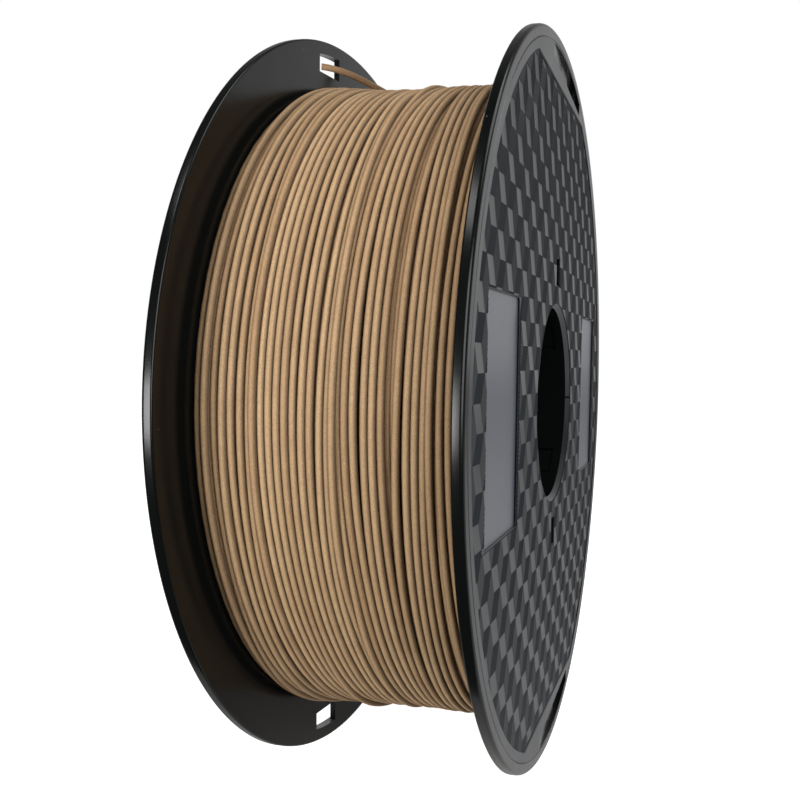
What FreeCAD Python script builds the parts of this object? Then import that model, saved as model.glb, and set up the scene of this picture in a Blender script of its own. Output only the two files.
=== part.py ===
"""Filament spool: two identical snap-together half mouldings and one length of filament wound on them.

The spool's axis is Y, +Z is up and the origin is the spool's centre. The front half's outer face looks
along -Y. The rear half is the same moulding turned half a turn about Z.
"""

import FreeCAD, Part
import math
import os

from FreeCAD import Vector

# Driving dimensions, in millimetres and degrees
FLANGE_RADIUS = 100.0
SPOOL_WIDTH = 65.4
FLANGE_THICKNESS = 2.6
RIM_FILLET_OUTER = 0.9
RIM_FILLET_INNER = 0.5

BORE_RADIUS = 27.0
BORE_TUBE_WALL = 3.0
BORE_CHAMFER = 1.2
DRUM_RADIUS = 45.0
DRUM_WALL = 2.2
LAP_LENGTH = 3.0
LAP_CLEARANCE = 0.15

FIELD_RADIUS = 94.5
FIELD_HALF_HEIGHT = 87.0
FIELD_DEPTH = 0.7
LABEL_INNER_X = 50.5
LABEL_OUTER_X = 82.0
LABEL_HALF_HEIGHT = 26.5
LABEL_DEPTH = 1.2
LABEL_CORNER_RADIUS = 0.8

DRIVE_SLOT_WIDTH = 5.0
DRIVE_SLOT_INNER_Z = 33.3
DRIVE_SLOT_OUTER_Z = 41.0

POCKET_START_X = -17.0
POCKET_END_X = 30.0
POCKET_START_Z = 92.1
POCKET_END_Z = 88.5
POCKET_RADIUS = 96.6
POCKET_DEPTH = 1.0
POCKET_HOLE_X = (11.0, 24.0)

SNAP_ANGLES = (45.0, -45.0)
SNAP_WIDTH = 9.0
SNAP_CLEARANCE = 0.25
SNAP_FACE_DEPTH = 4.8
SNAP_ROOT_LENGTH = 6.0
SNAP_NOSE_LENGTH = 3.5
SNAP_NOSE_HEIGHT = 1.5
SNAP_BRIDGE_WIDTH = 5.0
SNAP_BRIDGE_WALL = 2.4
SNAP_FOOT_WIDTH = 2.0
SNAP_FOOT_DEPTH = 2.0
SNAP_NOSE_BITE = 1.0
SNAP_NOSE_TIP = 0.5

RIB_COUNT = 8
RIB_FIRST_ANGLE = 22.5
RIB_THICKNESS = 1.8
RIB_END_GAP = 0.3

STRAND_DIAMETER = 1.75
WINDING_RADIUS = 86.5
WINDING_SIDE_GAP = 0.15
STRANDS_ACROSS = 34

# The free end of the filament: off the top of the winding, then out through the rear flange's upper
# hole. Each point is a corner of its route.
TAIL_ROUTE = (
    Vector(32.9, 14.0, 81.4),
    Vector(15.3, 14.0, 87.3),
    Vector(-1.5, 21.5, 90.2),
    Vector(-12.8, 28.8, 92.8),
    Vector(-14.8, 33.8, 93.2),
)

# Worked out from the driving dimensions
HALF_WIDTH = SPOOL_WIDTH / 2
FLANGE_INNER_Y = -HALF_WIDTH + FLANGE_THICKNESS
BORE_TUBE_RADIUS = BORE_RADIUS + BORE_TUBE_WALL
DRUM_BORE = DRUM_RADIUS - DRUM_WALL
SNAP_REACH = HALF_WIDTH - SNAP_FACE_DEPTH
PAST = 1.0
EMBED = 0.3

Y_AXIS = Vector(0, 1, 0)


def ring(outer, inner, y_from, y_to):
    """A tube about the spool's axis, or a disc where inner is 0."""
    length = y_to - y_from
    solid = Part.makeCylinder(outer, length, Vector(0, y_from, 0), Y_AXIS)
    if inner:
        hole = Part.makeCylinder(inner, length + 2 * PAST, Vector(0, y_from - PAST, 0), Y_AXIS)
        solid = solid.cut(hole)
    return solid


def block(x, y, z):
    """A box from three (low, high) pairs."""
    return Part.makeBox(x[1] - x[0], y[1] - y[0], z[1] - z[0], Vector(x[0], y[0], z[0]))


def turned(shape, angle):
    """The shape turned about the spool's axis, from +X towards +Z."""
    shape = shape.copy()
    shape.rotate(Vector(0, 0, 0), Y_AXIS, -angle)
    return shape


def round_edges_at(solid, radius, y):
    """Fillets the circular rim edge that lies in the plane y."""
    def on_rim(edge):
        box = edge.BoundBox
        return abs(box.YMin - y) < 0.01 and abs(box.YMax - y) < 0.01

    return solid.makeFillet(radius, [edge for edge in solid.Edges if on_rim(edge)])


def flange():
    """The plain disc with its rounded rim."""
    disc = ring(FLANGE_RADIUS, 0, -HALF_WIDTH, FLANGE_INNER_Y)
    disc = round_edges_at(disc, RIM_FILLET_OUTER, -HALF_WIDTH)
    return round_edges_at(disc, RIM_FILLET_INNER, FLANGE_INNER_Y)


def field_recess():
    """The shallow sunk field of the outer face, between its two level chords."""
    y_range = (-HALF_WIDTH - PAST, -HALF_WIDTH + FIELD_DEPTH)
    disc = ring(FIELD_RADIUS, 0, *y_range)
    reach = (-FLANGE_RADIUS, FLANGE_RADIUS)
    return disc.common(block(reach, y_range, (-FIELD_HALF_HEIGHT, FIELD_HALF_HEIGHT)))


def label_recess(side):
    """One of the two plain label panels, a little deeper than the field."""
    x_range = sorted((side * LABEL_INNER_X, side * LABEL_OUTER_X))
    y_range = (-HALF_WIDTH - PAST, -HALF_WIDTH + LABEL_DEPTH)
    panel = block(x_range, y_range, (-LABEL_HALF_HEIGHT, LABEL_HALF_HEIGHT))
    upright = [edge for edge in panel.Edges if edge.BoundBox.YLength > LABEL_DEPTH]
    return panel.makeFillet(LABEL_CORNER_RADIUS, upright)


def drive_slot(side):
    """A slot through the face beside the bore, for the drive peg of a holder."""
    z_range = sorted((side * DRIVE_SLOT_INNER_Z, side * DRIVE_SLOT_OUTER_Z))
    x_range = (-DRIVE_SLOT_WIDTH / 2, DRIVE_SLOT_WIDTH / 2)
    return block(x_range, (-HALF_WIDTH - PAST, FLANGE_INNER_Y + PAST), z_range)


def prism(corners, along):
    """A flat outline pushed along a vector."""
    return Part.Face(Part.makePolygon(corners + corners[:1])).extrude(along)


def tail_pocket(side):
    """The ramp by the rim that leads a filament end down to a hole through the flange."""
    face, floor = -HALF_WIDTH, -HALF_WIDTH + POCKET_DEPTH
    hole_from, hole_to = POCKET_HOLE_X
    outline = [
        Vector(POCKET_START_X, face - PAST, 0),
        Vector(POCKET_START_X, face, 0),
        Vector(hole_from, floor, 0),
        Vector(POCKET_END_X, floor, 0),
        Vector(POCKET_END_X, face - PAST, 0),
    ]
    ramp = prism(outline, Vector(0, 0, side * FLANGE_RADIUS))
    through = (face - PAST, FLANGE_INNER_Y + PAST)
    hole = block(POCKET_HOLE_X, through, sorted((0, side * FLANGE_RADIUS)))
    edge = [
        Vector(POCKET_START_X, through[0], side * POCKET_START_Z),
        Vector(POCKET_END_X, through[0], side * POCKET_END_Z),
        Vector(POCKET_END_X, through[0], side * FLANGE_RADIUS),
        Vector(POCKET_START_X, through[0], side * FLANGE_RADIUS),
    ]
    bounds = prism(edge, Vector(0, through[1] - through[0], 0))
    bounds = bounds.common(ring(POCKET_RADIUS, 0, *through))
    return [ramp.common(bounds), hole.common(bounds)]


def ribs():
    """Thin webs that tie the bore tube to the drum."""
    web = block(
        (BORE_TUBE_RADIUS - EMBED, DRUM_BORE + EMBED),
        (FLANGE_INNER_Y - EMBED, -LAP_LENGTH - RIB_END_GAP),
        (-RIB_THICKNESS / 2, RIB_THICKNESS / 2),
    )
    return [turned(web, RIB_FIRST_ANGLE + 360 / RIB_COUNT * i) for i in range(RIB_COUNT)]


def drum():
    """Half of the drum that carries the winding, with a lap joint: a tongue on +X, its seat on -X."""
    wall = ring(DRUM_RADIUS, DRUM_BORE, FLANGE_INNER_Y - EMBED, 0)
    middle = DRUM_RADIUS - DRUM_WALL / 2
    tongue = ring(middle - LAP_CLEARANCE, DRUM_BORE, -PAST, LAP_LENGTH - LAP_CLEARANCE)
    seat = ring(middle, DRUM_BORE - PAST, -LAP_LENGTH, PAST)
    x_side = (LAP_CLEARANCE, FLANGE_RADIUS)
    across = (-FLANGE_RADIUS, FLANGE_RADIUS)
    tongue = tongue.common(block(x_side, across, across))
    seat = seat.common(block((-FLANGE_RADIUS, 0), across, across))
    return wall.cut(seat).fuse(tongue)


def snap_seat(angle):
    """The channel and bridge in the bore tube that take the other half's snap finger."""
    half_width = SNAP_WIDTH / 2 + SNAP_CLEARANCE
    channel = block(
        (BORE_RADIUS - 2 * PAST, BORE_TUBE_RADIUS + PAST),
        (-SNAP_REACH - SNAP_CLEARANCE, PAST),
        (-half_width, half_width),
    )
    bridge_from = -SNAP_REACH + SNAP_NOSE_LENGTH + SNAP_CLEARANCE
    bridge = block(
        (BORE_TUBE_RADIUS + SNAP_CLEARANCE, BORE_TUBE_RADIUS + SNAP_BRIDGE_WALL),
        (bridge_from, bridge_from + SNAP_BRIDGE_WIDTH),
        (-half_width - SNAP_FOOT_WIDTH, half_width + SNAP_FOOT_WIDTH),
    )
    feet = [
        block(
            (BORE_TUBE_RADIUS - SNAP_FOOT_DEPTH, BORE_TUBE_RADIUS + SNAP_BRIDGE_WALL),
            (bridge_from, bridge_from + SNAP_BRIDGE_WIDTH),
            sorted((side * half_width, side * (half_width + SNAP_FOOT_WIDTH))),
        )
        for side in (-1, 1)
    ]
    bridge = bridge.fuse(feet)
    return turned(channel, angle), turned(bridge, angle)


def snap_finger(angle):
    """A springy finger on the bore tube with a nose that catches behind the other half's bridge."""
    root = -SNAP_ROOT_LENGTH
    half_width = SNAP_WIDTH / 2
    sector = block((0, BORE_TUBE_RADIUS + PAST), (root, SNAP_REACH), (-half_width, half_width))
    arm = ring(BORE_TUBE_RADIUS - SNAP_CLEARANCE, BORE_RADIUS + SNAP_CLEARANCE, root, SNAP_REACH)
    nose_base = SNAP_REACH - SNAP_NOSE_LENGTH
    nose_root = BORE_TUBE_RADIUS - SNAP_NOSE_BITE
    nose_outline = [
        Vector(nose_root, nose_base, 0),
        Vector(BORE_TUBE_RADIUS + SNAP_NOSE_HEIGHT, nose_base, 0),
        Vector(nose_root + SNAP_NOSE_TIP, SNAP_REACH, 0),
        Vector(nose_root, SNAP_REACH, 0),
    ]
    nose = Part.Face(Part.makePolygon(nose_outline + nose_outline[:1]))
    nose = nose.extrude(Vector(0, 0, SNAP_WIDTH))
    nose.translate(Vector(0, 0, -half_width))
    return turned(arm.common(sector).fuse(nose), angle)


def spool_half():
    """One whole half moulding, as the front half stands."""
    tube = ring(BORE_TUBE_RADIUS, 0, FLANGE_INNER_Y - EMBED, 0)
    body = flange().fuse([tube, drum()] + ribs())
    bore = ring(BORE_RADIUS, 0, -HALF_WIDTH - PAST, PAST)
    mouth = Part.makeCone(
        BORE_RADIUS + BORE_CHAMFER + FIELD_DEPTH, BORE_RADIUS, BORE_CHAMFER + FIELD_DEPTH,
        Vector(0, -HALF_WIDTH, 0), Y_AXIS,
    )
    cuts = [bore, mouth, field_recess()]
    for side in (-1, 1):
        cuts += [label_recess(side), drive_slot(side)] + tail_pocket(side)
    bridges = []
    for angle in SNAP_ANGLES:
        channel, bridge = snap_seat(angle)
        cuts.append(channel)
        bridges.append(bridge)
    body = body.cut(cuts)
    fingers = [snap_finger(180 - angle) for angle in SNAP_ANGLES]
    return body.fuse(bridges + fingers).removeSplitter()


def turned_about_z(shape):
    """The shape turned half a turn about Z, which makes the rear half from the front one."""
    shape = shape.copy()
    shape.rotate(Vector(0, 0, 0), Vector(0, 0, 1), 180)
    return shape


def winding():
    """The wound filament: a ring on the drum whose outside is scalloped by its outer turns."""
    half = HALF_WIDTH - FLANGE_THICKNESS - WINDING_SIDE_GAP
    pitch = 2 * half / STRANDS_ACROSS
    valley = WINDING_RADIUS - STRAND_DIAMETER / 4
    edges = [
        Part.LineSegment(Vector(DRUM_RADIUS, half, 0), Vector(DRUM_RADIUS, -half, 0)).toShape(),
        Part.LineSegment(Vector(DRUM_RADIUS, -half, 0), Vector(valley, -half, 0)).toShape(),
    ]
    for i in range(STRANDS_ACROSS):
        start = -half + pitch * i
        crown = Vector(WINDING_RADIUS, start + pitch / 2, 0)
        edges.append(Part.Arc(Vector(valley, start, 0), crown, Vector(valley, start + pitch, 0)).toShape())
    edges.append(Part.LineSegment(Vector(valley, half, 0), Vector(DRUM_RADIUS, half, 0)).toShape())
    section = Part.Face(Part.Wire(edges))
    return section.revolve(Vector(0, 0, 0), Y_AXIS, 360)


def tangent_path(points):
    """Straight runs joined by tangent arcs, and the radius of each arc."""
    edges, radii = [], []
    start = points[0]
    for before, corner, after in zip(points, points[1:], points[2:]):
        back, ahead = before - corner, after - corner
        turn = math.pi - back.getAngle(ahead)
        trim = 0.45 * min(back.Length, ahead.Length)
        radius = trim / math.tan(turn / 2)
        back.normalize()
        ahead.normalize()
        arc_from, arc_to = corner + back * trim, corner + ahead * trim
        inward = back + ahead
        inward.normalize()
        centre_distance = math.hypot(radius, trim)
        middle = corner + inward * (centre_distance - radius)
        edges.append(Part.LineSegment(start, arc_from).toShape())
        edges.append(Part.Arc(arc_from, middle, arc_to).toShape())
        radii.append(radius)
        start = arc_to
    edges.append(Part.LineSegment(start, points[-1]).toShape())
    return Part.Wire(edges), radii


def filament_tail():
    """The last stretch of the same filament, which isn't wound down."""
    path, radii = tangent_path(TAIL_ROUTE)
    print("filament_tail length", round(path.Length, 1), "arc radii", [round(r) for r in radii])
    direction = TAIL_ROUTE[1] - TAIL_ROUTE[0]
    circle = Part.Circle(TAIL_ROUTE[0], direction, STRAND_DIAMETER / 2).toShape()
    tube = path.makePipeShell([Part.Wire(circle)], True, True)
    print("section times length", round(math.pi * STRAND_DIAMETER ** 2 / 4 * path.Length, 1))
    return tube


def main():
    os.makedirs("parts", exist_ok=True)
    front = spool_half()
    shapes = {
        "spool_half_front": front,
        "spool_half_rear": turned_about_z(front),
        "filament_winding": winding(),
        "filament_tail": filament_tail(),
    }
    for name, shape in shapes.items():
        print(name, "valid" if shape.isValid() else "INVALID", len(shape.Solids), round(shape.Volume, 1))
        shape.exportStep(f"parts/{name}.step")


main()
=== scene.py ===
"""Filament spool: the looks, built in metres around the packed model.

The file is laid out as an add-on. Sizes, finishes and studio values are properties, each group of pieces
has its own operator, and main() calls the operators in order. The spool's axis is Y, +Z is up, and the
front half's outer face looks along -Y. The rear half is the same moulding turned half a turn about Z.
"""

import math

import bmesh
import bpy
import numpy as np
from bpy.props import FloatProperty, FloatVectorProperty, IntProperty, PointerProperty
from mathutils import Euler, Matrix, Vector


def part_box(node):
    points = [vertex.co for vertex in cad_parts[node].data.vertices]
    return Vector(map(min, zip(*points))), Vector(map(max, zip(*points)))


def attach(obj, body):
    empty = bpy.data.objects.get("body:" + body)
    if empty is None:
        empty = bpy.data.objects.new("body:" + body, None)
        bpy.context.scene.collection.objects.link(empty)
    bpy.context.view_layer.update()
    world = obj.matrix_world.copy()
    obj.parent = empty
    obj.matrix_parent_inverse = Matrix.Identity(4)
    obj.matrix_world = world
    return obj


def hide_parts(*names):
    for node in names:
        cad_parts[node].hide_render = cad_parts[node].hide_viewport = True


bl_info = {
    "name": "Filament spool",
    "version": (1, 0, 0),
    "blender": (4, 5, 0),
    "location": "3D View > Sidebar > Spool",
    "description": "Builds a two-part filament spool, its winding and a small studio",
    "category": "Object",
}

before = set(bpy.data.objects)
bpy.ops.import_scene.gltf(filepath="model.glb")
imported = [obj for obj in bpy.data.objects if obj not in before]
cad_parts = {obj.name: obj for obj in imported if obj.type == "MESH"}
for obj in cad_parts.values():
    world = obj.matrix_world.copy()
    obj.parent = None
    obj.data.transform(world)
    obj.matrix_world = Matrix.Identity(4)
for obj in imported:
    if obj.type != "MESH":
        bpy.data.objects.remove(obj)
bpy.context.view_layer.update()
HALF_LOW, HALF_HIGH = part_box("spool_half_front")
WINDING_LOW, WINDING_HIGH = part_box("filament_winding")
MM = 0.001


def length(name, description, default):
    """A length property in metres."""
    return FloatProperty(name=name, description=description, default=default, unit="LENGTH", precision=5)


def share(name, description, default):
    """A property from 0 to 1."""
    return FloatProperty(name=name, description=description, default=default, min=0, max=1, subtype="FACTOR")


def colour(name, description, default):
    """A linear colour property."""
    return FloatVectorProperty(name=name, description=description, default=default, size=3, subtype="COLOR",
                               min=0, max=1)


class SpoolSizes(bpy.types.PropertyGroup):
    """The half moulding's sizes."""

    flange_radius: length("Flange radius", "Outer radius of both flanges", HALF_HIGH.z)
    half_width: length("Half width", "From the spool's middle to a flange's outer face", -HALF_LOW.y)
    flange_thickness: length("Flange thickness", "Thickness of a flange at its rim", 2.6 * MM)
    rim_outer_round: length("Outer rim round", "Radius of the rim's outer edge", 0.9 * MM)
    rim_inner_round: length("Inner rim round", "Radius of the rim's inner edge", 0.5 * MM)
    bead_radius: length("Bead radius", "Where the polished rim ends and the satin face begins", 97.1 * MM)
    bore_radius: length("Bore radius", "Radius of the bore", 27.0 * MM)
    bore_wall: length("Bore wall", "Wall of the bore tube", 3.0 * MM)
    bore_chamfer: length("Bore chamfer", "Chamfer at the bore's mouth", 1.2 * MM)
    drum_radius: length("Drum radius", "Outer radius of the drum", 45.0 * MM)
    drum_wall: length("Drum wall", "Wall of the drum", 2.2 * MM)
    field_radius: length("Field radius", "Radius of the sunk patterned field", 94.5 * MM)
    field_half_height: length("Field half height", "Height of the field's level chords", 87.0 * MM)
    field_depth: length("Field depth", "Depth of the field below the rim", 0.7 * MM)
    label_inner_x: length("Label inner edge", "Nearer upright edge of a label panel", 50.5 * MM)
    label_outer_x: length("Label outer edge", "Further upright edge of a label panel", 82.0 * MM)
    label_half_height: length("Label half height", "Half the height of a label panel", 26.5 * MM)
    label_depth: length("Label depth", "Depth of a label panel below the rim", 1.2 * MM)
    slot_width: length("Drive slot width", "Width of a drive slot", 5.0 * MM)
    slot_inner_z: length("Drive slot inner end", "Nearer end of a drive slot", 33.3 * MM)
    slot_outer_z: length("Drive slot outer end", "Further end of a drive slot", 41.0 * MM)
    pocket_start_x: length("Pocket start", "Shallow end of a tie-off pocket", -17.0 * MM)
    pocket_end_x: length("Pocket end", "Deep end of a tie-off pocket", 30.0 * MM)
    pocket_start_z: length("Pocket edge, start", "Height of the straight edge at the shallow end", 92.1 * MM)
    pocket_end_z: length("Pocket edge, end", "Height of the straight edge at the deep end", 88.5 * MM)
    pocket_radius: length("Pocket radius", "Curved edge of a tie-off pocket", 96.6 * MM)
    pocket_depth: length("Pocket depth", "Depth of the pocket's floor at its deep end", 1.0 * MM)
    pocket_ramp_to: length("Pocket ramp end", "Where the pocket's ramp reaches its full depth", 1.0 * MM)
    pocket_hole_from: length("Pocket hole from", "Where the hole in the pocket's floor starts", 11.0 * MM)
    pocket_hole_to: length("Pocket hole to", "Where the hole in the pocket's floor ends", 24.0 * MM)


class PatternSizes(bpy.types.PropertyGroup):
    """The tumbling-block relief of the outer faces."""

    tile_width: length("Tile width", "Length of a tile's level edge", 5.606 * MM)
    tile_rise: length("Tile rise", "Height of a tile's slanted edge", 5.815 * MM)
    start_x: length("Pattern start x", "Middle of one light tile", -37.891 * MM)
    start_z: length("Pattern start z", "Middle of one light tile", 82.398 * MM)
    groove_pitch: length("Groove pitch", "Distance between two grooves of a tile", 0.46 * MM)
    relief_depth: length("Relief depth", "Mean depth of the relief below the rim", 0.42 * MM)
    level_slope: FloatProperty(name="Level slope", description="Slope of the grooves of the light tiles",
                               default=0.10)
    side_slope: FloatProperty(name="Side slope", description="Slope of the grooves of the dark tiles",
                              default=0.66)


class WindingSizes(bpy.types.PropertyGroup):
    """The wound filament."""

    strand_diameter: length("Strand diameter", "Diameter of the filament", 1.75 * MM)
    outer_radius: length("Winding radius", "Outer radius of the winding", WINDING_HIGH.z)
    half_width: length("Winding half width", "Half the width of the winding", WINDING_HIGH.y)
    turns: IntProperty(name="Turns", description="Turns in one full layer", default=34, min=2)
    top_turns: IntProperty(name="Top turns", description="Turns in the loose top layer", default=33, min=2)
    wander: length("Wander", "How far a turn strays from its even place", 0.75 * MM)
    sway: length("Sway", "How far neighbouring turns stray together", 1.8 * MM)
    heap: length("Heap", "How much higher the winding stands beside the rear flange", 1.4 * MM)
    seed: IntProperty(name="Seed", description="Seed of the winding's unevenness", default=11)


class SpoolFinish(bpy.types.PropertyGroup):
    """Colours and gloss."""

    gloss_colour: colour("Polished plastic", "Black of the rims and inner faces", (0.0034, 0.0040, 0.0039))
    satin_colour: colour("Satin plastic", "Textured plastic of the outer faces", (0.0066, 0.0092, 0.0122))
    # Painted sheen: the label panels are the same black plastic, and this lighter grey stands in for their
    # reflection of the bright surroundings.
    label_painted_sheen_colour: colour("Label plastic", "Smooth plastic of the label panels", (0.080, 0.087, 0.106))
    filament_light: colour("Filament light", "Lighter wood tone", (0.530, 0.353, 0.193))
    filament_dark: colour("Filament dark", "Darker wood tone", (0.345, 0.207, 0.103))
    gloss_roughness: share("Polished roughness", "Roughness of the polished plastic", 0.21)
    satin_roughness: share("Satin roughness", "Roughness of the satin plastic", 0.33)
    gloss_shine: share("Polished shine", "Strength of the polished plastic's reflection", 0.24)
    satin_shine: share("Satin shine", "Strength of the satin plastic's reflection", 0.72)
    filament_roughness: share("Filament roughness", "Roughness of the filament", 0.72)


class StudioSettings(bpy.types.PropertyGroup):
    """Camera, floor and lights."""

    camera_place: FloatVectorProperty(name="Camera place", description="Where the camera stands", size=3,
                                      subtype="TRANSLATION", default=(-0.252792, -0.074757, 0.013091))
    camera_turn: FloatVectorProperty(name="Camera turn", description="How the camera is turned", size=3,
                                     subtype="EULER",
                                     default=tuple(math.radians(a) for a in (86.211, -1.059, -76.849)))
    camera_lens: FloatProperty(name="Lens", description="Focal length in millimetres", default=40.152)
    camera_shift: FloatVectorProperty(name="Shift", description="Sideways and upward shift", size=2,
                                      default=(-0.125, 0.01875))
    floor_near: length("Floor front", "Where the floor sheet starts, in front of the spool", -0.085)
    floor_far: length("Floor reach", "How far the floor sheet reaches behind and to the sides", 6.0)
    floor_colour: colour("Floor colour", "Pale floor", (0.75, 0.75, 0.75))
    floor_glow: share("Floor glow", "How much of its own light the floor sheet gives to the object", 0.12)


# Mesh helpers


def finish_piece(name, mesh, materials, body="root"):
    """Links a mesh as a named piece that rides on a body and takes its finish from a slot."""
    piece = bpy.data.objects.new(name, mesh)
    bpy.context.scene.collection.objects.link(piece)
    for material in materials:
        mesh.materials.append(material)
    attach(piece, body)
    return piece


def mesh_from(name, points, faces):
    """A mesh from points and faces, its normals facing out."""
    mesh = bpy.data.meshes.new(name)
    mesh.from_pydata(points, [], faces)
    work = bmesh.new()
    work.from_mesh(mesh)
    bmesh.ops.recalc_face_normals(work, faces=work.faces)
    work.to_mesh(mesh)
    work.free()
    return mesh


def stacked(loops):
    """Points and faces of a closed solid through loops that have the same number of points."""
    count = len(loops[0])
    points = [tuple(p) for loop in loops for p in loop]
    faces = [tuple(range(count)), tuple(range(len(points) - count, len(points)))]
    for level in range(len(loops) - 1):
        low, high = level * count, (level + 1) * count
        ahead = [(i + 1) % count for i in range(count)]
        faces += [(low + i, low + j, high + j, high + i) for i, j in enumerate(ahead)]
    return points, faces


def joined(parts):
    """Several (points, faces) as one."""
    points, faces = [], []
    for part_points, part_faces in parts:
        start = len(points)
        points += part_points
        faces += [tuple(start + i for i in face) for face in part_faces]
    return points, faces


def lathe(profile, segments):
    """Points and faces of a closed (radius, y) profile turned about the spool's axis."""
    points, faces = [], []
    count = len(profile)
    for step in range(segments):
        angle = 2 * math.pi * step / segments
        points += [(r * math.cos(angle), y, r * math.sin(angle)) for r, y in profile]
    for step in range(segments):
        here, next_row = step * count, (step + 1) % segments * count
        ahead = [(i + 1) % count for i in range(count)]
        faces += [(here + i, here + j, next_row + j, next_row + i) for i, j in enumerate(ahead)]
    return points, faces


def turned_points(points, degrees):
    """Points turned about the spool's axis, from +X towards +Z."""
    turn = Matrix.Rotation(math.radians(-degrees), 3, "Y")
    return [tuple(turn @ Vector(p)) for p in points]


def block(x, y, z):
    """Points and faces of a box from (low, high) pairs."""
    corners = ((x[0], z[0]), (x[1], z[0]), (x[1], z[1]), (x[0], z[1]))
    return stacked([[(corner_x, level, corner_z) for corner_x, corner_z in corners] for level in y])


def arc(centre, radius, start, end, steps):
    """Points on an arc in a plane, angles in degrees."""
    angles = [math.radians(start + (end - start) * i / steps) for i in range(steps + 1)]
    return [(centre[0] + radius * math.cos(a), centre[1] + radius * math.sin(a)) for a in angles]


def combine(mesh, tools, operation):
    """The mesh after a union with, or a difference from, each (points, faces) tool in turn."""
    base = bpy.data.objects.new("combine_base", mesh)
    bpy.context.scene.collection.objects.link(base)
    helpers = [base]
    for tool in tools:
        helper = bpy.data.objects.new("combine_tool", mesh_from("combine_tool", *tool))
        bpy.context.scene.collection.objects.link(helper)
        helpers.append(helper)
        modifier = base.modifiers.new("combine", "BOOLEAN")
        modifier.operation = operation
        modifier.solver = "EXACT"
        modifier.object = helper
    done = bpy.data.meshes.new_from_object(base.evaluated_get(bpy.context.evaluated_depsgraph_get()))
    for helper in helpers:
        bpy.data.objects.remove(helper)
    return done


def smooth_by_angle(mesh, degrees):
    """Joins points that coincide, then shades smooth with edges sharper than the angle kept crisp."""
    work = bmesh.new()
    work.from_mesh(mesh)
    bmesh.ops.remove_doubles(work, verts=work.verts, dist=1e-7)
    bmesh.ops.dissolve_degenerate(work, edges=work.edges, dist=1e-7)
    for face in work.faces:
        face.smooth = True
    for edge in work.edges:
        sharp = len(edge.link_faces) != 2 or edge.calc_face_angle(0) > math.radians(degrees)
        edge.smooth = not sharp
    work.to_mesh(mesh)
    work.free()


# The half moulding


RIM_GROOVE = 0.2 * MM
DRUM_FILLET = 1.0 * MM
LABEL_CORNER = 0.8 * MM
SLOT_DEPTH = 4.0 * MM
SHARP_EDGE_ANGLE = 24


def half_profile(s):
    """The half's main section as (radius, y) points, from the bore's mouth round to the bore's far end."""
    face, inner = -s.half_width, -s.half_width + s.flange_thickness
    mouth = s.bore_chamfer + s.field_depth
    groove, fillet = RIM_GROOVE, DRUM_FILLET
    profile = [(s.bore_radius + mouth, face), (s.bead_radius - groove, face), (s.bead_radius, face + groove),
               (s.bead_radius + groove, face)]
    outer, inside = s.rim_outer_round, s.rim_inner_round
    profile += arc((s.flange_radius - outer, face + outer), outer, -90, 0, 6)
    profile += arc((s.flange_radius - inside, inner - inside), inside, 0, 90, 4)
    profile += arc((s.drum_radius + fillet, inner + fillet), fillet, -90, -180, 5)
    drum_bore = s.drum_radius - s.drum_wall
    tube = s.bore_radius + s.bore_wall
    profile += [(s.drum_radius, 0), (drum_bore, 0), (drum_bore, inner), (tube, inner), (tube, 0)]
    profile += [(s.bore_radius, 0), (s.bore_radius, face + mouth)]
    return profile


def field_outline(s, offset):
    """The patterned field's outline as (x, z): two long arcs and two level chords."""
    radius, half = s.field_radius + offset, s.field_half_height + offset
    end = math.degrees(math.asin(half / radius))
    return arc((0, 0), radius, -end, end, 96) + arc((0, 0), radius, 180 - end, 180 + end, 96)


def rounded_outline(x, z, corner, offset):
    """A rectangle with round corners as (x, z), grown by offset."""
    radius = corner + offset
    corners = [((x[1] - corner, z[1] - corner), 0), ((x[0] + corner, z[1] - corner), 90),
               ((x[0] + corner, z[0] + corner), 180), ((x[1] - corner, z[0] + corner), 270)]
    return [p for centre, start in corners for p in arc(centre, radius, start, start + 90, 4)]


def recess(outline, face, depth, edge=0.22 * MM, proud=1.0 * MM):
    """A cutter for a recess with a small chamfer at its mouth. outline(offset) gives (x, z)."""
    levels = [(face + depth, 0), (face + edge, 0), (face - proud, edge + proud)]
    return stacked([[(x, y, z) for x, z in outline(offset)] for y, offset in levels])


def pocket_cutter(s, side):
    """A cutter for a tie-off pocket: a ramp, a level floor and a hole through part of that floor."""
    face, proud, step = -s.half_width, 1.0 * MM, 0.01 * MM
    start, end, hole_start, hole_end = s.pocket_start_x, s.pocket_end_x, s.pocket_hole_from, s.pocket_hole_to
    through = s.flange_thickness + proud
    fall = (s.pocket_end_z - s.pocket_start_z) / (end - start)
    ramp_length = s.pocket_ramp_to - start
    before_hole = np.linspace(start + 0.2 * MM, hole_start, 24)
    stations = [(x, s.pocket_depth * min(1, (x - start) / ramp_length)) for x in before_hole]
    stations += [(x, through) for x in np.linspace(hole_start + step, hole_end, 8)]
    stations += [(x, s.pocket_depth) for x in np.linspace(hole_end + step, end, 5)]
    loops = []
    for x, depth in stations:
        straight = side * (s.pocket_start_z + fall * (x - start))
        curved = side * math.sqrt(s.pocket_radius ** 2 - x ** 2)
        floor, top = face + depth, face - proud
        loops.append([(x, floor, straight), (x, floor, curved), (x, top, curved), (x, top, straight)])
    return stacked(loops)


SNAP_ANGLES = (45, -45)
SNAP_WIDTH = 9.0 * MM
SNAP_GAP = 0.25 * MM
SNAP_FACE_DEPTH = 4.8 * MM
SNAP_NOSE = (3.5 * MM, 1.5 * MM)
SNAP_BRIDGE = (5.0 * MM, 2.4 * MM)
SNAP_ROOT = 6.0 * MM
SNAP_TIP_TAPER = 0.6 * MM


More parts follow.
